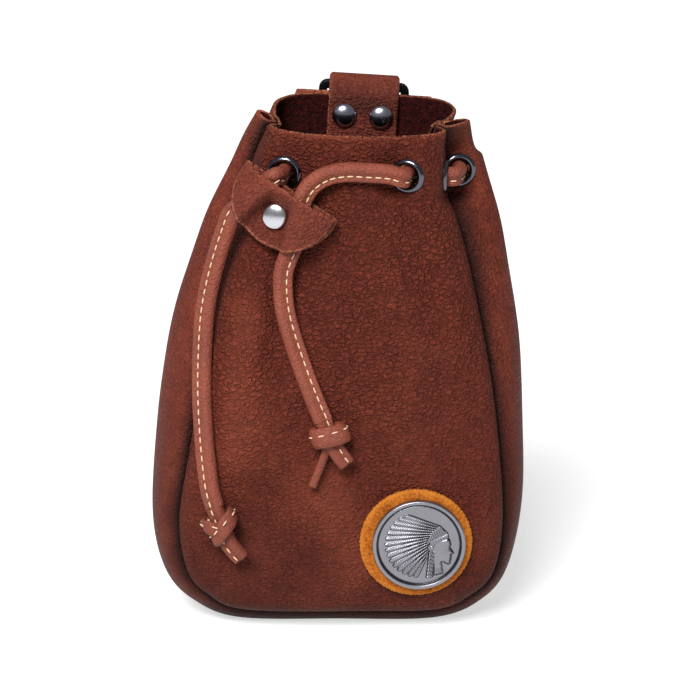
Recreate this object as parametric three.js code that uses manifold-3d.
import * as THREE from "three";
import { mergeVertices } from "three/addons/utils/BufferGeometryUtils.js";
import Module from "manifold-3d";

// Leather drawstring belt bag, in millimetres: the front faces -Y, +Z is up, the base rests on z = 0.

// Leather, cord and gaps
const WALL = 1.8;
const GAP = 0.3;
const SEAM_GAP = 0.7;
const MITRE = { longest: 2.1, least: 0.3 };
const CORD_RADIUS = 2.2;

// Seams of the gusset, a row for each station from the middle of the base up to the rim
const SEAMS = [
  { z: 4.5, frontL: 0, frontR: 0, frontY: -15, backL: 0, backR: 0, backY: 17 },
  { z: 4.8, frontL: -35, frontR: 35, frontY: -15, backL: -37, backR: 37, backY: 17 },
  { z: 11, frontL: -48.5, frontR: 50, frontY: -15, backL: -52, backR: 52, backY: 17.5 },
  { z: 21, frontL: -54.8, frontR: 57, frontY: -15, backL: -58.5, backR: 58.5, backY: 18 },
  { z: 40, frontL: -57, frontR: 59.5, frontY: -15, backL: -61, backR: 61, backY: 18.5 },
  { z: 66, frontL: -53.5, frontR: 58.5, frontY: -14.5, backL: -59.5, backR: 60, backY: 18.5 },
  { z: 104, frontL: -46.5, frontR: 53.5, frontY: -12, backL: -54, backR: 57, backY: 17.5 },
  { z: 140, frontL: -38, frontR: 45, frontY: -4, backL: -44, backR: 48.5, backY: 14 },
  { z: 166, frontL: -30, frontR: 35.5, frontY: 4, backL: -29, backR: 35, backY: 12.5 },
  { z: 183.6, frontL: -24, frontR: 38, frontY: -4, backL: -22, backR: 36.5, backY: -0.4 },
];

// Ridge of the gusset at the same stations: how far it stands out of the seams, and back from them
const RIDGE = [
  { outL: 6, outR: 6, backL: 0, backR: 0 },
  { outL: 6, outR: 6, backL: 0, backR: 0 },
  { outL: 5.8, outR: 4.4, backL: 0, backR: 0 },
  { outL: 8, outR: 5.2, backL: 0, backR: 0 },
  { outL: 8.6, outR: 6.8, backL: 0, backR: 0 },
  { outL: 9.6, outR: 8.2, backL: 0, backR: 0 },
  { outL: 10, outR: 10.2, backL: 0, backR: 0.5 },
  { outL: 7.8, outR: 12.8, backL: 1, backR: 2 },
  { outL: 6.8, outR: 17, backL: 2, backR: 4 },
  { outL: 5, outR: 9.4, backL: 3.6, backR: 9 },
];

// Plan of the front panel at the stations from the bottom corner up: its middle, and the roll at its edge
const FRONT = [
  { midX: 1, midY: -23.5, inset: 9, rollL: 0, rollR: 0, rollY: 7.5 },
  { midX: 1, midY: -25, inset: 9, rollL: 0, rollR: 0, rollY: 9 },
  { midX: 1.5, midY: -25.3, inset: 9, rollL: 0, rollR: 0, rollY: 9.5 },
  { midX: 2, midY: -25, inset: 9, rollL: 0, rollR: 0, rollY: 9.5 },
  { midX: 3, midY: -23.5, inset: 9, rollL: 0, rollR: 0.5, rollY: 10 },
  { midX: 4, midY: -20.5, inset: 10, rollL: 0, rollR: 3, rollY: 13 },
  { midX: 3, midY: -17, inset: 13, rollL: 2, rollR: 10, rollY: 14 },
  { midX: 3, midY: -14.5, inset: 16, rollL: 0, rollR: 1, rollY: 8 },
];

// Plan of the back panel at the same stations: its flat middle, its overhang beyond the seam, and the roll
const BACK = [
  { midX: 0, midY: 22.5, flat: 26, overL: -9, overR: -9, rollL: 0, rollR: 0, rollY: 4.5 },
  { midX: 0, midY: 23.5, flat: 28, overL: -9, overR: -9, rollL: 0, rollR: 0, rollY: 5 },
  { midX: 0.5, midY: 24, flat: 28, overL: -9, overR: -9, rollL: 0, rollR: 0, rollY: 5 },
  { midX: 1, midY: 24, flat: 27, overL: -9, overR: -9, rollL: 0, rollR: 0, rollY: 5 },
  { midX: 3, midY: 24, flat: 25, overL: -8, overR: -8, rollL: 0.5, rollR: 0.5, rollY: 5.5 },
  { midX: 5, midY: 23.5, flat: 22, overL: -2, overR: -2, rollL: 2, rollR: 2, rollY: 7 },
  { midX: 7.5, midY: 23, flat: 17, overL: 3, overR: 8, rollL: 2, rollR: 3.5, rollY: 9 },
  { midX: 9, midY: 22.5, flat: 15, overL: 3, overR: 8.5, rollL: 1, rollR: 9, rollY: 11 },
];

// Stations: the rim, the corner where a panel's side edges start, and the end of its bottom edge
const RIM = 9;
const BACK_FLAT_SHARE = 0.4;
const CORNER = 2;
const BOTTOM_END = 1.5;

// The rim falls to the right and to the front
const RIM_FALL = { foot: 60, right: 0.03, front: 0.215, midX: 7, midY: -14 };

// Soft groove of the front panel below the slider
const GROOVE = { x: -20, width: 6, depth: 2.2, zLow: 85, zHigh: 150, fadeLow: 160, fadeHigh: 185 };

// Facets: rows of the rolled bottom edge, up to the shoulder and above it, columns, steps across the gusset
const ROWS = { roll: 3, low: 6, shoulder: 7, high: 7 };
const COLUMNS = 22;
const ACROSS = 8;

// Eyelets: place on the panel, and the way each one faces seen from above (degrees to the right of the front)
const EYELET = { bore: 4.1, barrel: 4.6, flange: 6.3, washer: 5.6, rise: 0.95, flat: 6.8, fade: 14, hole: 3 };
const EYELET_ROLL = { seat: 0.15, washer: 0.6, foot: 0.3, outer: 0.8, inner: 0.5, lip: 0.4 };
const ROUND_SIDES = 12;
const HOLE_SIDES = 14;
const GUSSET_HOLD = { full: 0.05, keep: 0.3, end: 0.45 };
const FRONT_HOLD_POWER = 14;
const EYELETS = [
  { name: "eyelet_front_left", panel: "front", a: -0.445, r: 8.16, turn: -10 },
  { name: "eyelet_front_right", panel: "front", a: 0.4, r: 8.2, turn: -18 },
  { name: "eyelet_return_right", panel: "front", a: 0.8, r: 8.02, turn: 80 },
  { name: "eyelet_gusset_right", panel: "gusset", a: 7.88, r: 0.13, turn: 10 },
];

// Hanger: tab, ring, rivets and belt loop share a small tilt to the right
const HANGER = { x: 9.3, z: 186, tilt: 3.5 };
const TAB = { width: 25.5, wall: 2, steps: 22 };
const TAB_PATH = [
  [20, 171],
  [20, 188],
  [20.6, 192],
  [23.4, 195.6],
  [28, 197.6],
  [31.5, 194.2],
  [29.9, 190.9],
  [27.4, 187.6],
  [27.4, 179.4],
];
const LOOP = { width: 50, wall: 2, steps: 20 };
const LOOP_PATH = [
  [25.1, 191.4],
  [25.1, 176],
  [27, 169.5],
  [30.6, 162],
  [31.6, 150],
  [30.6, 138],
  [27.4, 129],
  [26.2, 122],
  [26.2, 111],
];
const TAB_RIVET = { x: 6.7, z: 184.6, cap: 4.5, dome: 2.4, post: 1.3, front: 18.7, rear: 28.7 };
const TAB_RIVET_REAR = { cap: 3.2, dome: 1.4 };
const RIVET_HOLE = { before: 4, length: 18, clear: 0.4, sides: 12 };
const RING = { y: 28, z: 194.2, inside: 26.8, wire: 3.1, drop: 22, corner: 3, bevel: 0.7, lean: 4.5 };

// Slider: half-round leather, its chord tilted down to the right, two layers with the cords between them
const SLIDER = { x: -11.8, z: 163.3, slope: 31.6, radius: 18.4, chord: 2.3, wall: 1.5, turn: -12, nod: 6 };
const SLIDER_RISE = { rest: 1.9, hump: 6, pinch: 0.69, power: 8, deep: 8, fall: 11 };
const CHANNELS = { left: { start: 7.8, spread: 0.31 }, right: { start: 5.4, spread: 0.37 } };
const SLIDER_RIVET = { down: 10.1, cap: 4.2, dome: 1.5, post: 1.3, clear: 1.6 };
const SLIDER_STAND = 1.3;
const SLIDER_TRIM = 0.994;
const SLIDER_FACETS = { front: [20, 4], back: [12, 2] };

// Drawstring below the slider's chord: where the held run ends and the loose ends start and leave
const CORD_JOIN = { held: 6.7, loose: 7.1, rightOut: 14, leftOut: 12.5 };

// Drawstring routes: across, depth and height of each point between the eyelets and the slider
const CORD_FRONT = [
  [-8.7, -22.6, 168.5],
  [-3.5, -21, 171.7],
  [2.8, -20.2, 173.3],
  [10.6, -19.7, 173.4],
  [18.7, -18.9, 172.9],
];
const CORD_INSIDE = [
  [40.5, 9.8, 167.6],
  [35, 8.4, 166.8],
  [26, 11.2, 166],
  [13, 14.6, 165.6],
  [1, 14.2, 165.8],
  [-9, 9, 168],
];
const CORD_RIGHT = [
  [-18.7, -24.2, 138.1],
  [-19.1, -24.2, 130.8],
  [-18.4, -24.7, 123.6],
  [-16.7, -25.6, 116.5],
  [-11.4, -27.3, 100.4],
  [-6.4, -28.9, 87.5],
  [-4.7, -30.2, 83.8],
];
const CORD_LEFT = [
  [-37.1, -18.6, 157.4],
  [-38.9, -18, 152.6],
  [-41.9, -17.4, 143.7],
  [-44.9, -17.2, 132.6],
  [-47.1, -17.8, 121],
  [-48.3, -20, 103.8],
  [-48.4, -22.2, 89.5],
  [-47.4, -25.6, 71.8],
  [-45.7, -28.4, 57.6],
  [-43.9, -30.2, 51.4],
];
const CORD_STEPS = { held: 42, right: 12, left: 18 };
const CORD_SIDES = 6;

// Knots: middle, direction of the cord through it, and the ends that stand out
const KNOTS = [
  {
    name: "knot_right",
    start: [-4.5, -30.4, 83.3],
    end: [-0.4, -31.6, 73.8],
    stubs: [
      { to: [3.2, -31, 68.7], radius: 2.2 },
      { to: [-9, -29.6, 59.2], radius: 1.1 },
    ],
  },
  {
    name: "knot_left",
    start: [-43.7, -30.4, 50.7],
    end: [-39, -31.4, 38.1],
    stubs: [{ to: [-34.4, -31, 32.6], radius: 2.2 }],
  },
];
const KNOT_WRAP = { ring: 3, tube: 2, tubeSides: 6, ringSides: 10, rodSides: 8 };

// Disc and medallion on the lower right of the front
const PATCH = { x: 28.5, z: 37.1, radius: 20.4, wall: 2.6, sides: 22 };
const MEDALLION = { x: 28.7, z: 37.4, radius: 16.8, plate: 1.5, turn: 1.5, sides: 24 };
const MEDALLION_RIM = { width: 1.3, rise: 0.9, bevel: 0.3 };

// Relief, from the middle of the medallion: a fan of feathers round a hub, and a plain head in profile
const FEATHERS = { hubX: 4.6, hubY: -0.8, count: 14, from: 106, to: 258, root: 4.6, reach: 13 };
const FEATHER = { rootHalf: 0.22, half: 0.72, wideAt: 0.8 };
const RELIEF = { sink: 0.4, feather: 0.8, head: 0.9, hair: 1.05, band: 1.2, ear: 1.4 };
const EAR = { radius: 1.7, sides: 8 };
const HEAD = [
  [4.8, 1.6],
  [4.6, -6],
  [5.2, -12],
  [9, -11],
  [8.8, -9.4],
  [8.4, -6.8],
  [10.6, -7.7],
  [11.6, -7.1],
  [11.5, -6.2],
  [12, -5.5],
  [11.7, -5],
  [12.1, -4.5],
  [11.8, -3.8],
  [13, -3.2],
  [11.4, -0.9],
  [11.8, -0.1],
  [11.4, 1.8],
  [10.4, 3.2],
];
const HEADBAND = [
  [4.2, -0.6],
  [10.9, 3],
  [10.2, 4.6],
  [3.6, 1.4],
];
const BRAID = [
  [2.4, -12.7],
  [5, -12.5],
  [5.9, -2],
  [3.4, -2],
];

// Colours
const BROWN = new THREE.MeshStandardMaterial({ color: 0x6a3128, roughness: 0.6, metalness: 0 });
const TAN = new THREE.MeshStandardMaterial({ color: 0x854338, roughness: 0.55, metalness: 0 });
const ORANGE = new THREE.MeshStandardMaterial({ color: 0xda8a35, roughness: 0.7, metalness: 0 });
const GUNMETAL = new THREE.MeshStandardMaterial({ color: 0x3a3c44, roughness: 0.22, metalness: 1 });
const NICKEL = new THREE.MeshStandardMaterial({ color: 0xb9bcc2, roughness: 0.15, metalness: 1 });
const BLACK = new THREE.MeshStandardMaterial({ color: 0x0c0c0e, roughness: 0.35, metalness: 0.6 });
const SILVER = new THREE.MeshStandardMaterial({ color: 0x9a9a98, roughness: 0.3, metalness: 1 });

const wasm = await Module();
wasm.setup();

const group = new THREE.Group();
group.name = "belt_bag";

function mix(p, q, t) {
  return p + (q - p) * t;
}

function smooth(low, high, v) {
  const t = Math.min(1, Math.max(0, (v - low) / (high - low)));
  return t * t * (3 - 2 * t);
}

// Smooth curve through evenly spaced values
function through(values, u) {
  const last = values.length - 1;
  const k = Math.min(last - 1, Math.max(0, Math.floor(u)));
  const t = u - k;
  const p1 = values[k];
  const p2 = values[k + 1];
  const p0 = k > 0 ? values[k - 1] : 2 * p1 - p2;
  const p3 = k + 2 <= last ? values[k + 2] : 2 * p2 - p1;
  const c1 = (p2 - p0) / 2;
  const c2 = p0 - 2.5 * p1 + 2 * p2 - 0.5 * p3;
  const c3 = (p3 - p0) / 2 + 1.5 * (p1 - p2);
  return p1 + t * (c1 + t * (c2 + t * c3));
}

// A column of a table along the whole seam, from the left rim round the base to the right rim
function rail(table, leftKey, rightKey) {
  const left = table.slice(1).reverse().map((row) => row[leftKey]);
  return [...left, ...table.map((row) => row[rightKey])];
}

const RAILS = {
  z: rail(SEAMS, "z", "z"),
  frontX: rail(SEAMS, "frontL", "frontR"),
  frontY: rail(SEAMS, "frontY", "frontY"),
  backX: rail(SEAMS, "backL", "backR"),
  backY: rail(SEAMS, "backY", "backY"),
  out: rail(RIDGE, "outL", "outR"),
  ridgeBack: rail(RIDGE, "backL", "backR"),
};

function onRail(name, s) {
  return through(RAILS[name], s + RIM);
}

function frontSeam(s) {
  return new THREE.Vector3(onRail("frontX", s), onRail("frontY", s), onRail("z", s));
}

function backSeam(s) {
  return new THREE.Vector3(onRail("backX", s), onRail("backY", s), onRail("z", s));
}

function column(table, key, r) {
  return through(table.map((row) => row[key]), r - CORNER);
}

function bezier(p0, p1, p2, p3, t) {
  const q = 1 - t;
  return q * q * q * p0 + 3 * q * q * t * p1 + 3 * q * t * t * p2 + t * t * t * p3;
}

function fallToRim(p) {
  const lift = Math.max(0, (p.z - RIM_FALL.foot) / (SEAMS[RIM].z - RIM_FALL.foot));
  const fall = RIM_FALL.front * (p.y - RIM_FALL.midY) - RIM_FALL.right * (p.x - RIM_FALL.midX);
  p.z += lift * lift * fall;
  return p;
}

function frontSection(a, r) {
  const side = a < 0 ? -1 : 1;
  const t = Math.abs(a);
  const seam = frontSeam(side * r);
  const midX = column(FRONT, "midX", r);
  const midY = column(FRONT, "midY", r);
  const x1 = seam.x - side * column(FRONT, "inset", r);
  const x2 = seam.x + side * column(FRONT, a < 0 ? "rollL" : "rollR", r);
  const y2 = seam.y - column(FRONT, "rollY", r);
  const x = bezier(midX, x1, x2, seam.x, t);
  let y = bezier(midY, midY, y2, seam.y, t);
  const across = (x - GROOVE.x) / GROOVE.width;
  const starts = smooth(GROOVE.zLow, GROOVE.zHigh, seam.z);
  const ends = 1 - smooth(GROOVE.fadeLow, GROOVE.fadeHigh, seam.z);
  y += GROOVE.depth * Math.exp(-across * across) * starts * ends * (1 - Math.pow(t, 4));
  return new THREE.Vector3(x, y, seam.z);
}

function backSection(a, r) {
  const side = a < 0 ? -1 : 1;
  const seam = backSeam(side * r);
  const midX = column(BACK, "midX", r);
  const midY = column(BACK, "midY", r);
  const flatX = midX + side * column(BACK, "flat", r);
  const x1 = seam.x + side * column(BACK, a < 0 ? "overL" : "overR", r);
  const x2 = seam.x + side * column(BACK, a < 0 ? "rollL" : "rollR", r);
  const y2 = seam.y + column(BACK, "rollY", r);
  const t = Math.abs(a);
  if (t < BACK_FLAT_SHARE) {
    return new THREE.Vector3(mix(midX, flatX, t / BACK_FLAT_SHARE), midY, seam.z);
  }
  const u = (t - BACK_FLAT_SHARE) / (1 - BACK_FLAT_SHARE);
  return new THREE.Vector3(bezier(flatX, x1, x2, seam.x, u), bezier(midY, midY, y2, seam.y, u), seam.z);
}

// A panel above its corner is a stack of plan sections, below it rolls round to the bottom seam
function panelPoint(section, seamAt, a, r) {
  if (r >= CORNER) {
    return section(a, r);
  }
  const q = CORNER - r;
  const roll = (side) => {
    const top = section(side, CORNER);
    const low = seamAt(side * BOTTOM_END);
    const y = mix(top.y, low.y, 1 - Math.cos((q * Math.PI) / 2));
    const z = mix(top.z, low.z, Math.sin((q * Math.PI) / 2));
    return new THREE.Vector3(mix(top.x, low.x, q), y, z);
  };
  const p = roll(a);
  const end = a < 0 ? -1 : 1;
  const edge = seamAt(end * (CORNER - (CORNER - BOTTOM_END) * q)).sub(roll(end));
  return p.addScaledVector(edge, Math.pow(Math.abs(a), 6));
}

function facing(turn) {
  const angle = THREE.MathUtils.degToRad(turn);
  return new THREE.Vector3(Math.sin(angle), -Math.cos(angle), 0);
}

function gussetBase(s, w) {
  const front = frontSeam(s);
  const back = backSeam(s);
  const ahead = frontSeam(Math.min(RIM, s + 0.05));
  const behind = frontSeam(Math.max(-RIM, s - 0.05));
  const run = new THREE.Vector2(ahead.x - behind.x, ahead.z - behind.z).normalize();
  const reach = (4 / 3) * onRail("out", s);
  const out = new THREE.Vector3(run.y * reach, (4 / 3) * onRail("ridgeBack", s), -run.x * reach);
  const p = new THREE.Vector3(
    bezier(front.x, front.x + out.x, back.x + out.x, back.x, w),
    bezier(front.y, front.y + out.y, back.y + out.y, back.y, w),
    bezier(front.z, front.z + out.z, back.z + out.z, back.z, w),
  );
  p.z = Math.max(p.z, WALL / 2);
  return fallToRim(p);
}

function frontBase(a, r) {
  return fallToRim(panelPoint(frontSection, frontSeam, a, r));
}

function backSurface(a, r) {
  return fallToRim(panelPoint(backSection, backSeam, a, r));
}

const seats = EYELETS.map((eyelet) => {
  const place = eyelet.panel === "front" ? frontBase(eyelet.a, eyelet.r) : gussetBase(eyelet.a, eyelet.r);
  const normal = facing(eyelet.turn);
  return { ...eyelet, place, normal };
});

// The leather lies flat under an eyelet
function flatten(p, panel, hold) {
  for (const seat of seats) {
    if (seat.panel === panel) {
      const away = p.clone().sub(seat.place);
      const weight = hold * (1 - smooth(EYELET.flat, EYELET.fade, away.length()));
      p.addScaledVector(seat.normal, -weight * away.dot(seat.normal));
    }
  }
  return p;
}

function frontSurface(a, r) {
  return flatten(frontBase(a, r), "front", 1 - Math.pow(Math.abs(a), FRONT_HOLD_POWER));
}

function gussetSurface(s, w) {
  const hold = smooth(0, GUSSET_HOLD.full, w) * (1 - smooth(GUSSET_HOLD.keep, GUSSET_HOLD.end, w));
  return flatten(gussetBase(s, w), "gusset", hold);
}

function asManifold(geometry) {
  const bare = geometry.clone();
  for (const name of Object.keys(bare.attributes)) {
    if (name !== "position") {
      bare.deleteAttribute(name);
    }
  }
  const merged = mergeVertices(bare, 1e-4);
  const points = merged.attributes.position.array;
  const kept = [];
  const index = merged.index.array;
  for (let k = 0; k < index.length; k += 3) {
    const [i, j, l] = [index[k], index[k + 1], index[k + 2]];
    if (i !== j && j !== l && l !== i) {
      kept.push(i, j, l);
    }
  }
  let volume = 0;
  const at = (i) => new THREE.Vector3(points[3 * i], points[3 * i + 1], points[3 * i + 2]);
  for (let k = 0; k < kept.length; k += 3) {
    volume += at(kept[k]).dot(at(kept[k + 1]).cross(at(kept[k + 2])));
  }
  if (volume < 0) {
    for (let k = 0; k < kept.length; k += 3) {
      [kept[k + 1], kept[k + 2]] = [kept[k + 2], kept[k + 1]];
    }
  }
  const mesh = new wasm.Mesh({
    numProp: 3,
    vertProperties: new Float32Array(points),
    triVerts: new Uint32Array(kept),
  });
  return new wasm.Manifold(mesh);
}

function asGeometry(solid) {
  const mesh = solid.getMesh();
  const geometry = new THREE.BufferGeometry();
  geometry.setAttribute("position", new THREE.BufferAttribute(new Float32Array(mesh.vertProperties), 3));
  geometry.setIndex(Array.from(mesh.triVerts));
  geometry.computeVertexNormals();
  return geometry;
}

function addPiece(name, solid, material) {
  const mesh = new THREE.Mesh(asGeometry(solid), material);
  mesh.name = name;
  group.add(mesh);
}

// A wall between two grids of points, closed along its four edges
function wallGeometry(outer, inner) {
  const rows = outer.length;
  const cols = outer[0].length;
  const points = [...outer.flat(), ...inner.flat()];
  const half = rows * cols;
  const faces = [];
  const quad = (i, j, k, l) => faces.push(i, j, k, i, k, l);
  for (let r = 0; r < rows - 1; r += 1) {
    for (let c = 0; c < cols - 1; c += 1) {
      const i = r * cols + c;
      quad(i, i + 1, i + cols + 1, i + cols);
      quad(half + i, half + i + cols, half + i + cols + 1, half + i + 1);
    }
  }
  const border = [];
  for (let c = 0; c < cols - 1; c += 1) {
    border.push(c);
  }
  for (let r = 0; r < rows - 1; r += 1) {
    border.push(r * cols + cols - 1);
  }
  for (let c = cols - 1; c > 0; c -= 1) {
    border.push((rows - 1) * cols + c);
  }
  for (let r = rows - 1; r > 0; r -= 1) {
    border.push(r * cols);
  }
  border.forEach((i, k) => {
    const j = border[(k + 1) % border.length];
    quad(j, i, half + i, half + j);
  });
  const geometry = new THREE.BufferGeometry();
  const flatPoints = points.flatMap((p) => [p.x, p.y, p.z]);
  geometry.setAttribute("position", new THREE.BufferAttribute(new Float32Array(flatPoints), 3));
  geometry.setIndex(faces);
  return geometry;
}

function gridOf(rowValues, colValues, point) {
  return rowValues.map((r) => colValues.map((c) => point(c, r)));
}

function gridNormals(grid, sign) {
  const rows = grid.length;
  const cols = grid[0].length;
  return grid.map((line, r) =>
    line.map((p, c) => {
      const across = grid[r][Math.min(cols - 1, c + 1)].clone().sub(grid[r][Math.max(0, c - 1)]);
      const up = grid[Math.min(rows - 1, r + 1)][c].clone().sub(grid[Math.max(0, r - 1)][c]);
      return across.cross(up).multiplyScalar(sign).normalize();
    }),
  );
}

function steps(from, to, count) {
  return Array.from({ length: count + 1 }, (_, k) => mix(from, to, k / count));
}

const bottomRows = steps(1, CORNER, ROWS.roll);
const lowRows = steps(CORNER, ROWS.shoulder, ROWS.low);
const highRows = steps(ROWS.shoulder, RIM, ROWS.high);
const panelRows = [...bottomRows.slice(0, -1), ...lowRows.slice(0, -1), ...highRows];
const panelCols = steps(-1, 1, COLUMNS);
const sideStations = panelRows.map((r) => (r >= CORNER ? r : BOTTOM_END + (r - 1) * (CORNER - BOTTOM_END)));
const bottomStations = panelCols.map((a) => BOTTOM_END * a);
const leftStations = sideStations.slice(1).reverse().map((s) => -s);
const stations = [...leftStations, ...bottomStations, ...sideStations.slice(1)];
const acrossValues = steps(0, 1, ACROSS);

const frontGrid = gridOf(panelRows, panelCols, frontSurface);
const backGrid = gridOf(panelRows, panelCols, backSurface);
const gussetGrid = gridOf(acrossValues, stations, gussetSurface);
const frontNormals = gridNormals(frontGrid, 1);
const backNormals = gridNormals(backGrid, -1);
const gussetNormals = gridNormals(gussetGrid, -1);

// Row and column of a panel's edge at each station of the gusset
const edgeOfPanel = [];
for (let r = panelRows.length - 1; r > 0; r -= 1) {
  edgeOfPanel.push([r, 0]);
}
for (let c = 0; c <= COLUMNS; c += 1) {
  edgeOfPanel.push([0, c]);
}
for (let r = 1; r < panelRows.length; r += 1) {
  edgeOfPanel.push([r, COLUMNS]);
}

function offsets(normals) {
  return normals.map((line) => line.map((n) => n.clone().multiplyScalar(WALL / 2)));
}

const frontOffsets = offsets(frontNormals);
const backOffsets = offsets(backNormals);
const gussetOffsets = offsets(gussetNormals);

// At a seam both walls end on the plane that halves the angle between them, half a gap away from it
function joinSeam(panelGrid, panelNormals, panelOffsets, gussetRow, inwardRow) {
  const moves = [];
  edgeOfPanel.forEach(([r, c], k) => {
    const n1 = panelNormals[r][c];
    const n2 = gussetNormals[gussetRow][k];
    const mitre = n1.clone().add(n2).normalize();
    const length = Math.min(MITRE.longest, WALL / 2 / Math.max(MITRE.least, mitre.dot(n1)));
    const offset = mitre.clone().multiplyScalar(length);
    const toPanel = n2.clone().addScaledVector(mitre, -n2.dot(mitre)).normalize();
    const inside = gussetGrid[inwardRow][k].clone().sub(gussetGrid[gussetRow][k]);
    const sign = inside.dot(toPanel) > 0 ? -1 : 1;
    panelOffsets[r][c] = offset.clone();
    gussetOffsets[gussetRow][k] = offset.clone();
    moves.push([r, c, k, toPanel.multiplyScalar((sign * SEAM_GAP) / 2)]);
  });
  for (const [r, c, k, move] of moves) {
    panelGrid[r][c].add(move);
    gussetGrid[gussetRow][k].sub(move);
  }
}

joinSeam(frontGrid, frontNormals, frontOffsets, 0, 1);
joinSeam(backGrid, backNormals, backOffsets, ACROSS, ACROSS - 1);

function wallOf(grid, offset) {
  const outer = grid.map((line, r) => line.map((p, c) => p.clone().add(offset[r][c])));
  const inner = grid.map((line, r) => line.map((p, c) => p.clone().sub(offset[r][c])));
  return asManifold(wallGeometry(outer, inner));
}

// A straight rod from a point along a direction, for holes and posts
function rod(from, direction, length, radius, sides) {
  const shape = new THREE.CylinderGeometry(radius, radius, length, sides);
  shape.translate(0, length / 2, 0);
  shape.applyQuaternion(new THREE.Quaternion().setFromUnitVectors(new THREE.Vector3(0, 1, 0), direction));
  shape.translate(from.x, from.y, from.z);
  return asManifold(shape);
}

function latheAlong(profile, segments, place, direction) {
  const shape = new THREE.LatheGeometry(profile.map(([r, y]) => new THREE.Vector2(r, y)), segments);
  shape.applyQuaternion(new THREE.Quaternion().setFromUnitVectors(new THREE.Vector3(0, 1, 0), direction));
  shape.translate(place.x, place.y, place.z);
  return asManifold(shape);
}

const hangerPlace = new THREE.Matrix4()
  .makeTranslation(HANGER.x, 0, HANGER.z)
  .multiply(new THREE.Matrix4().makeRotationY(THREE.MathUtils.degToRad(HANGER.tilt)))
  .multiply(new THREE.Matrix4().makeTranslation(0, 0, -HANGER.z));

function onHanger(x, y, z) {
  return new THREE.Vector3(x, y, z).applyMatrix4(hangerPlace);
}

const rivetPlaces = [-TAB_RIVET.x, TAB_RIVET.x].map((x) => onHanger(x, TAB_RIVET.front, TAB_RIVET.z));
const rivetHoles = rivetPlaces.map((p) => {
  const from = p.clone();
  from.y -= RIVET_HOLE.before;
  const radius = TAB_RIVET.post + RIVET_HOLE.clear;
  return rod(from, new THREE.Vector3(0, 1, 0), RIVET_HOLE.length, radius, RIVET_HOLE.sides);
});

function withoutRivetHoles(solid) {
  return rivetHoles.reduce((rest, hole) => rest.subtract(hole), solid);
}

function withoutEyeletHoles(solid, panel) {
  return seats
    .filter((seat) => seat.panel === panel)
    .reduce((rest, seat) => {
      const deep = seat.place.clone().addScaledVector(seat.normal, -EYELET.hole);
      const hole = rod(deep, seat.normal, 2 * EYELET.hole, EYELET.barrel + GAP, HOLE_SIDES);
      const face = seat.place.clone().addScaledVector(seat.normal, WALL / 2);
      const rear = seat.place.clone().addScaledVector(seat.normal, -WALL / 2);
      const outer = rod(face, seat.normal, EYELET.hole, EYELET.flange + GAP, HOLE_SIDES);
      const inner = rod(rear, seat.normal.clone().negate(), EYELET.hole, EYELET.washer + GAP, HOLE_SIDES);
      return rest.subtract(hole).subtract(outer).subtract(inner);
    }, solid);
}

addPiece("front_panel", withoutEyeletHoles(wallOf(frontGrid, frontOffsets), "front"), BROWN);
addPiece("gusset", withoutEyeletHoles(wallOf(gussetGrid, gussetOffsets), "gusset"), BROWN);
addPiece("back_panel", withoutRivetHoles(wallOf(backGrid, backOffsets)), BROWN);

// Eyelets
const seatTop = WALL / 2 + EYELET_ROLL.seat;
const eyeletFoot = -seatTop - EYELET_ROLL.washer;
const eyeletProfile = [
  [EYELET.bore, eyeletFoot],
  [EYELET.washer, eyeletFoot],
  [EYELET.washer, -seatTop],
  [EYELET.barrel, -seatTop],
  [EYELET.barrel, seatTop],
  [EYELET.flange, seatTop],
  [EYELET.flange, seatTop + EYELET_ROLL.foot],
  [EYELET.flange - EYELET_ROLL.outer, seatTop + EYELET.rise],
  [EYELET.bore + EYELET_ROLL.inner, seatTop + EYELET.rise],
  [EYELET.bore, seatTop + EYELET_ROLL.lip],
  [EYELET.bore, eyeletFoot],
];
for (const seat of seats) {
  addPiece(seat.name, latheAlong(eyeletProfile, ROUND_SIDES, seat.place, seat.normal), GUNMETAL);
}

// A strap bent along a path in the Y-Z plane, as wide as it is across
function strap(path, wall, width, divisions) {
  const middle = new THREE.SplineCurve(path.map(([y, z]) => new THREE.Vector2(y, z)));
  const points = middle.getSpacedPoints(divisions);
  const sides = [[], []];
  points.forEach((p, k) => {
    const ahead = points[Math.min(divisions, k + 1)];
    const behind = points[Math.max(0, k - 1)];
    const run = ahead.clone().sub(behind).normalize();
    const aside = new THREE.Vector2(-run.y, run.x).multiplyScalar(wall / 2);
    sides[0].push(p.clone().add(aside));
    sides[1].push(p.clone().sub(aside));
  });
  const outline = new THREE.Shape([...sides[0], ...sides[1].reverse()]);
  const body = new THREE.ExtrudeGeometry(outline, { depth: width, bevelEnabled: false, steps: 1 });
  body.translate(0, 0, -width / 2);
  const axes = new THREE.Matrix4().makeBasis(
    new THREE.Vector3(0, 1, 0),
    new THREE.Vector3(0, 0, 1),
    new THREE.Vector3(1, 0, 0),
  );
  body.applyMatrix4(axes);
  body.applyMatrix4(hangerPlace);
  return asManifold(body);
}

addPiece("belt_loop", withoutRivetHoles(strap(LOOP_PATH, LOOP.wall, LOOP.width, LOOP.steps)), BROWN);
addPiece("tab", withoutRivetHoles(strap(TAB_PATH, TAB.wall, TAB.width, TAB.steps)), TAN);

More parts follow.
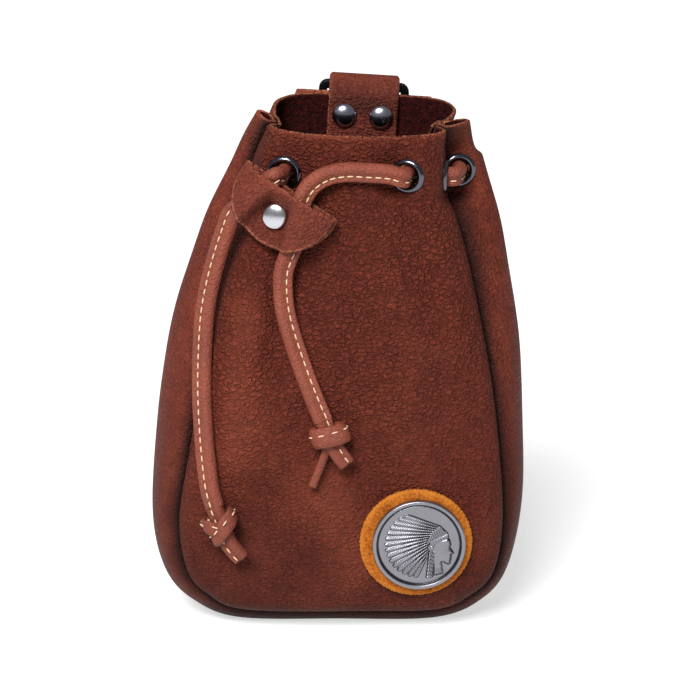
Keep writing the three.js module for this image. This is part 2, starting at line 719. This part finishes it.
const tabRivetProfile = [
  [0, -TAB_RIVET.dome],
  [TAB_RIVET.cap * 0.5, -TAB_RIVET.dome * 0.88],
  [TAB_RIVET.cap * 0.86, -TAB_RIVET.dome * 0.52],
  [TAB_RIVET.cap, 0],
  [TAB_RIVET.post, 0],
  [TAB_RIVET.post, TAB_RIVET.rear - TAB_RIVET.front],
  [TAB_RIVET_REAR.cap, TAB_RIVET.rear - TAB_RIVET.front],
  [TAB_RIVET_REAR.cap * 0.8, TAB_RIVET.rear - TAB_RIVET.front + TAB_RIVET_REAR.dome * 0.7],
  [0, TAB_RIVET.rear - TAB_RIVET.front + TAB_RIVET_REAR.dome],
];
["tab_rivet_left", "tab_rivet_right"].forEach((name, k) => {
  const body = latheAlong(tabRivetProfile, ROUND_SIDES, rivetPlaces[k], new THREE.Vector3(0, 1, 0));
  addPiece(name, body, GUNMETAL);
});

// Ring: a rectangular loop that hangs from the fold of the tab
function roundedRectangle(target, x0, z0, x1, z1, radius) {
  target.moveTo(x0 + radius, z0);
  target.lineTo(x1 - radius, z0);
  target.absarc(x1 - radius, z0 + radius, radius, -Math.PI / 2, 0, false);
  target.lineTo(x1, z1 - radius);
  target.absarc(x1 - radius, z1 - radius, radius, 0, Math.PI / 2, false);
  target.lineTo(x0 + radius, z1);
  target.absarc(x0 + radius, z1 - radius, radius, Math.PI / 2, Math.PI, false);
  target.lineTo(x0, z0 + radius);
  target.absarc(x0 + radius, z0 + radius, radius, Math.PI, 1.5 * Math.PI, false);
  return target;
}

const ringHalf = RING.wire / 2 - RING.bevel;
const ringX = RING.inside / 2 + RING.wire / 2;
const ringOutline = roundedRectangle(
  new THREE.Shape(),
  -ringX - ringHalf,
  -RING.drop - ringHalf,
  ringX + ringHalf,
  ringHalf,
  RING.corner,
);
const ringHole = roundedRectangle(
  new THREE.Path(),
  -ringX + ringHalf,
  -RING.drop + ringHalf,
  ringX - ringHalf,
  -ringHalf,
  RING.corner - 2 * ringHalf,
);
ringOutline.holes.push(ringHole);
const ringBody = new THREE.ExtrudeGeometry(ringOutline, {
  depth: RING.wire - 2 * RING.bevel,
  bevelEnabled: true,
  bevelThickness: RING.bevel,
  bevelSize: RING.bevel,
  bevelSegments: 1,
  curveSegments: 2,
});
ringBody.translate(0, 0, -ringHalf);
ringBody.rotateX(Math.PI / 2 + THREE.MathUtils.degToRad(RING.lean));
ringBody.translate(0, RING.y, RING.z);
ringBody.applyMatrix4(hangerPlace);
addPiece("hanging_ring", asManifold(ringBody), BLACK);

// Slider: a plane in front of the panel, with axes along its chord, away from the chord and out of the front
const sliderOut = facing(SLIDER.turn);
sliderOut.z = Math.tan(THREE.MathUtils.degToRad(SLIDER.nod));
sliderOut.normalize();
const slope = THREE.MathUtils.degToRad(SLIDER.slope);
const sliderAlong = new THREE.Vector3(Math.cos(slope), 0, -Math.sin(slope));
sliderAlong.addScaledVector(sliderOut, -sliderAlong.dot(sliderOut)).normalize();
const sliderDown = new THREE.Vector3().crossVectors(sliderOut, sliderAlong);
if (sliderDown.z > 0) {
  sliderDown.negate();
}

// The outermost point of the front leather below the slider carries it
let sliderSeat = -1e9;
const sliderMiddle = new THREE.Vector3(SLIDER.x, 0, SLIDER.z);
for (const line of frontGrid) {
  for (const p of line) {
    const from = p.clone().sub(sliderMiddle);
    const inReach = from.clone().addScaledVector(sliderOut, -from.dot(sliderOut)).length() < SLIDER.radius;
    if (inReach) {
      sliderSeat = Math.max(sliderSeat, from.dot(sliderOut) + WALL / 2);
    }
  }
}
const sliderOrigin = sliderMiddle.addScaledVector(sliderOut, sliderSeat + SLIDER.wall / 2 + SLIDER_STAND);

function sliderPoint(along, down, out) {
  return sliderOrigin
    .clone()
    .addScaledVector(sliderAlong, along)
    .addScaledVector(sliderDown, down)
    .addScaledVector(sliderOut, out);
}

// How far from the line of the rivet a cord's channel lies, on the left (-1) or on the right (1)
function channelAt(side, down) {
  const { start, spread } = side < 0 ? CHANNELS.left : CHANNELS.right;
  return start + spread * down;
}

// Height of the front layer: low round the rivet, humped over the cords, falling towards its corners
function sliderRise(along, down) {
  const channel = channelAt(Math.sign(along), down);
  const between = Math.pow(Math.abs(along) / (SLIDER_RISE.pinch * channel), SLIDER_RISE.power);
  const pinned = smooth(0, SLIDER_RISE.deep, down) * Math.exp(-between);
  const aside = Math.max(0, Math.abs(along) - channel) / SLIDER_RISE.fall;
  return SLIDER_RISE.rest + SLIDER_RISE.hump * (1 - pinned) * Math.exp(-aside * aside);
}

function sliderLeaf(rise, [across, deep]) {
  const cols = steps(-1, 1, across);
  const rows = steps(0, 1, deep);
  const point = (c, q) => {
    const along = SLIDER_TRIM * SLIDER.radius * Math.sin((c * Math.PI) / 2);
    const depth = SLIDER.chord + Math.sqrt(SLIDER.radius * SLIDER.radius - along * along);
    return sliderPoint(along, q * depth, rise(along, q * depth));
  };
  const grid = gridOf(rows, cols, point);
  const half = SLIDER.wall / 2;
  const out = gridNormals(grid, 1).map((line) =>
    line.map((n) => n.multiplyScalar(n.dot(sliderOut) < 0 ? -half : half)),
  );
  return wallOf(grid, out);
}

const sliderRivetAt = sliderPoint(0, SLIDER_RIVET.down, 0);
const sliderHole = rod(
  sliderPoint(0, SLIDER_RIVET.down, -RIVET_HOLE.before),
  sliderOut,
  RIVET_HOLE.length,
  SLIDER_RIVET.post + RIVET_HOLE.clear,
  RIVET_HOLE.sides,
);
addPiece("slider_front", sliderLeaf(sliderRise, SLIDER_FACETS.front).subtract(sliderHole), TAN);
addPiece("slider_back", sliderLeaf(() => 0, SLIDER_FACETS.back).subtract(sliderHole), TAN);
const sliderTop = SLIDER_RISE.rest + SLIDER.wall / 2 + SLIDER_RIVET.clear;
const sliderRivetProfile = [
  [0, -SLIDER.wall / 2 - 0.75],
  [SLIDER_RIVET.cap * 0.7, -SLIDER.wall / 2 - 0.6],
  [SLIDER_RIVET.cap * 0.8, -SLIDER.wall / 2 - 0.15],
  [SLIDER_RIVET.post, -SLIDER.wall / 2 - 0.15],
  [SLIDER_RIVET.post, sliderTop],
  [SLIDER_RIVET.cap, sliderTop],
  [SLIDER_RIVET.cap * 0.9, sliderTop + SLIDER_RIVET.dome * 0.5],
  [SLIDER_RIVET.cap * 0.5, sliderTop + SLIDER_RIVET.dome * 0.92],
  [0, sliderTop + SLIDER_RIVET.dome],
];
addPiece("slider_rivet", latheAlong(sliderRivetProfile, ROUND_SIDES, sliderRivetAt, sliderOut), NICKEL);

// Drawstring
function cordSection() {
  const ring = steps(0, 2 * Math.PI, CORD_SIDES).slice(0, -1);
  const corner = (t) => new THREE.Vector2(Math.cos(t), Math.sin(t)).multiplyScalar(CORD_RADIUS);
  return new THREE.Shape(ring.map(corner));
}

function cord(route, count) {
  const path = new THREE.CatmullRomCurve3(route, false, "centripetal");
  const settings = { steps: count, extrudePath: path, bevelEnabled: false };
  return asManifold(new THREE.ExtrudeGeometry(cordSection(), settings));
}

// A point of the cord between the two layers of the slider
function underSlider(side, down) {
  return sliderPoint(side * channelAt(side, down), down, SLIDER.wall / 2 + GAP + CORD_RADIUS);
}

// A point of the cord on the axis of an eyelet
function atEyelet(name, out) {
  const seat = seats.find((one) => one.name === name);
  return seat.place.clone().addScaledVector(seat.normal, out);
}

function points(list) {
  return list.map((p) => new THREE.Vector3(...p));
}

const heldRoute = [
  underSlider(1, CORD_JOIN.held),
  underSlider(1, -1),
  ...points(CORD_FRONT),
  atEyelet("eyelet_front_right", 4.6),
  atEyelet("eyelet_front_right", 0),
  atEyelet("eyelet_front_right", -5),
  atEyelet("eyelet_return_right", -4),
  atEyelet("eyelet_return_right", 0),
  atEyelet("eyelet_return_right", 4),
  atEyelet("eyelet_gusset_right", 4.2),
  atEyelet("eyelet_gusset_right", 0),
  atEyelet("eyelet_gusset_right", -3.5),
  ...points(CORD_INSIDE),
  atEyelet("eyelet_front_left", -6),
  atEyelet("eyelet_front_left", 0),
  atEyelet("eyelet_front_left", 6.2),
  underSlider(-1, -1.6),
  underSlider(-1, 3),
  underSlider(-1, CORD_JOIN.held),
];
const rightRoute = [
  underSlider(1, CORD_JOIN.loose),
  underSlider(1, CORD_JOIN.rightOut),
  ...points(CORD_RIGHT),
];
const leftRoute = [
  underSlider(-1, CORD_JOIN.loose),
  underSlider(-1, CORD_JOIN.leftOut),
  ...points(CORD_LEFT),
];

addPiece("cord_held", cord(heldRoute, CORD_STEPS.held), TAN);
addPiece("cord_right", cord(rightRoute, CORD_STEPS.right), TAN);
addPiece("cord_left", cord(leftRoute, CORD_STEPS.left), TAN);

for (const knot of KNOTS) {
  const start = new THREE.Vector3(...knot.start);
  const end = new THREE.Vector3(...knot.end);
  const run = end.clone().sub(start);
  const length = run.length();
  run.normalize();
  const { ring, tube, tubeSides, ringSides } = KNOT_WRAP;
  const wrap = new THREE.TorusGeometry(ring, tube, tubeSides, ringSides);
  wrap.applyQuaternion(new THREE.Quaternion().setFromUnitVectors(new THREE.Vector3(0, 0, 1), run));
  const middle = start.clone().lerp(end, 0.5);
  wrap.translate(middle.x, middle.y, middle.z);
  let body = asManifold(wrap).add(rod(start, run, length, CORD_RADIUS, KNOT_WRAP.rodSides));
  for (const stub of knot.stubs) {
    const away = new THREE.Vector3(...stub.to).sub(middle);
    const reach = away.length();
    body = body.add(rod(middle, away.normalize(), reach, stub.radius, KNOT_WRAP.rodSides));
  }
  addPiece(knot.name, body, TAN);
}

// Depth of the front leather at a place, by halving on height and then on width
function frontAt(x, z) {
  let low = CORNER;
  let high = RIM;
  let lowA = -1;
  let highA = 1;
  for (let k = 0; k < 40; k += 1) {
    const r = (low + high) / 2;
    const a = (lowA + highA) / 2;
    const p = frontBase(a, r);
    if (p.z < z) {
      low = r;
    } else {
      high = r;
    }
    if (p.x < x) {
      lowA = a;
    } else {
      highA = a;
    }
  }
  return frontBase((lowA + highA) / 2, (low + high) / 2).y;
}

// Disc that follows the front leather
const discRings = steps(0.34, 1, 2);
const discTurns = steps(0, 2 * Math.PI, PATCH.sides);
function discPoint(t, share, stand) {
  const x = PATCH.x + PATCH.radius * share * Math.cos(t);
  const z = PATCH.z + PATCH.radius * share * Math.sin(t);
  return new THREE.Vector3(x, frontAt(x, Math.max(z, SEAMS[CORNER].z + 0.1)) - WALL / 2 - GAP - stand, z);
}
function discFace(stand) {
  const middle = discPoint(0, 0, stand);
  const rings = discRings.map((share) => discTurns.slice(0, -1).map((t) => discPoint(t, share, stand)));
  return { middle, rings };
}
const discBack = discFace(0);
const discFront = discFace(PATCH.wall);
const discCount = discTurns.length - 1;
const discPoints = [discBack.middle, ...discBack.rings.flat(), discFront.middle, ...discFront.rings.flat()];
const discHalf = 1 + discRings.length * discCount;
const discFaces = [];
for (let k = 0; k < discCount; k += 1) {
  const n = (k + 1) % discCount;
  discFaces.push(0, 1 + k, 1 + n);
  discFaces.push(discHalf, discHalf + 1 + n, discHalf + 1 + k);
  for (let ring = 0; ring < discRings.length - 1; ring += 1) {
    const i = 1 + ring * discCount;
    const j = i + discCount;
    discFaces.push(i + k, j + k, j + n, i + k, j + n, i + n);
    discFaces.push(discHalf + i + k, discHalf + j + n, discHalf + j + k);
    discFaces.push(discHalf + i + k, discHalf + i + n, discHalf + j + n);
  }
  const e = 1 + (discRings.length - 1) * discCount;
  discFaces.push(e + k, discHalf + e + k, discHalf + e + n, e + k, discHalf + e + n, e + n);
}
const discGeometry = new THREE.BufferGeometry();
const discFlat = discPoints.flatMap((p) => [p.x, p.y, p.z]);
discGeometry.setAttribute("position", new THREE.BufferAttribute(new Float32Array(discFlat), 3));
discGeometry.setIndex(discFaces);
addPiece("patch_disc", asManifold(discGeometry), ORANGE);

// Medallion: it stands on the foremost points of the disc
const medallionOut = facing(MEDALLION.turn);
const medallionRight = new THREE.Vector3(-medallionOut.y, medallionOut.x, 0);
let medallionSeat = -1e9;
const medallionAt = new THREE.Vector3(MEDALLION.x, 0, MEDALLION.z);
for (const p of discFront.rings.flat()) {
  const from = p.clone().sub(medallionAt);
  if (Math.hypot(from.x, from.z) < MEDALLION.radius + 1) {
    medallionSeat = Math.max(medallionSeat, from.dot(medallionOut));
  }
}
medallionAt.addScaledVector(medallionOut, medallionSeat + GAP);
const medallionPlace = new THREE.Matrix4()
  .makeBasis(medallionRight, new THREE.Vector3(0, 0, 1), medallionOut)
  .setPosition(medallionAt);

const plateProfile = [
  [0, 0],
  [MEDALLION.radius, 0],
  [MEDALLION.radius, MEDALLION.plate],
  [MEDALLION.radius - MEDALLION_RIM.bevel, MEDALLION.plate + MEDALLION_RIM.rise],
  [MEDALLION.radius - MEDALLION_RIM.width, MEDALLION.plate + MEDALLION_RIM.rise],
  [MEDALLION.radius - MEDALLION_RIM.width - MEDALLION_RIM.bevel, MEDALLION.plate],
  [0, MEDALLION.plate],
];
const reliefFoot = MEDALLION.plate - RELIEF.sink;

// A flat raised figure of the relief from its outline
function raised(outline, rise) {
  const shape = new THREE.Shape(outline.map(([x, y]) => new THREE.Vector2(x, y)));
  const body = new THREE.ExtrudeGeometry(shape, { depth: RELIEF.sink + rise, bevelEnabled: false });
  body.translate(0, 0, reliefFoot);
  return asManifold(body);
}

// A feather: a ridge that starts narrow at the hub, widens, and ends in a point inside the rim
function feather(angle) {
  const run = new THREE.Vector2(Math.cos(angle), Math.sin(angle));
  const hub = new THREE.Vector2(FEATHERS.hubX, FEATHERS.hubY);
  const toward = hub.dot(run);
  const tip = Math.sqrt(toward * toward - hub.lengthSq() + FEATHERS.reach * FEATHERS.reach) - toward;
  const wide = mix(FEATHERS.root, tip, FEATHER.wideAt);
  const top = MEDALLION.plate + RELIEF.feather;
  const corners = [
    [FEATHERS.root, -FEATHER.rootHalf, reliefFoot],
    [wide, -FEATHER.half, reliefFoot],
    [tip, 0, reliefFoot],
    [wide, FEATHER.half, reliefFoot],
    [FEATHERS.root, FEATHER.rootHalf, reliefFoot],
    [FEATHERS.root, 0, top],
    [wide, 0, top],
  ];
  const body = new THREE.BufferGeometry();
  body.setAttribute("position", new THREE.BufferAttribute(new Float32Array(corners.flat()), 3));
  body.setIndex([0, 3, 1, 0, 4, 3, 1, 3, 2, 0, 1, 6, 0, 6, 5, 1, 2, 6, 2, 3, 6, 3, 4, 5, 3, 5, 6, 4, 0, 5]);
  body.rotateZ(angle);
  body.translate(hub.x, hub.y, 0);
  return asManifold(body);
}

const ear = new THREE.CylinderGeometry(EAR.radius, EAR.radius, RELIEF.sink + RELIEF.ear, EAR.sides);
ear.rotateX(Math.PI / 2);
ear.translate(FEATHERS.hubX, FEATHERS.hubY, reliefFoot + (RELIEF.sink + RELIEF.ear) / 2);
const featherAngles = steps(FEATHERS.from, FEATHERS.to, FEATHERS.count - 1).map(THREE.MathUtils.degToRad);
const relief = [
  ...featherAngles.map(feather),
  raised(HEAD, RELIEF.head),
  raised(BRAID, RELIEF.hair),
  raised(HEADBAND, RELIEF.band),
  asManifold(ear),
];
const plate = latheAlong(plateProfile, MEDALLION.sides, new THREE.Vector3(), new THREE.Vector3(0, 0, 1));
const medallionBody = asGeometry(relief.reduce((body, figure) => body.add(figure), plate));
medallionBody.applyMatrix4(medallionPlace);
addPiece("medallion", asManifold(medallionBody), SILVER);

export default group;
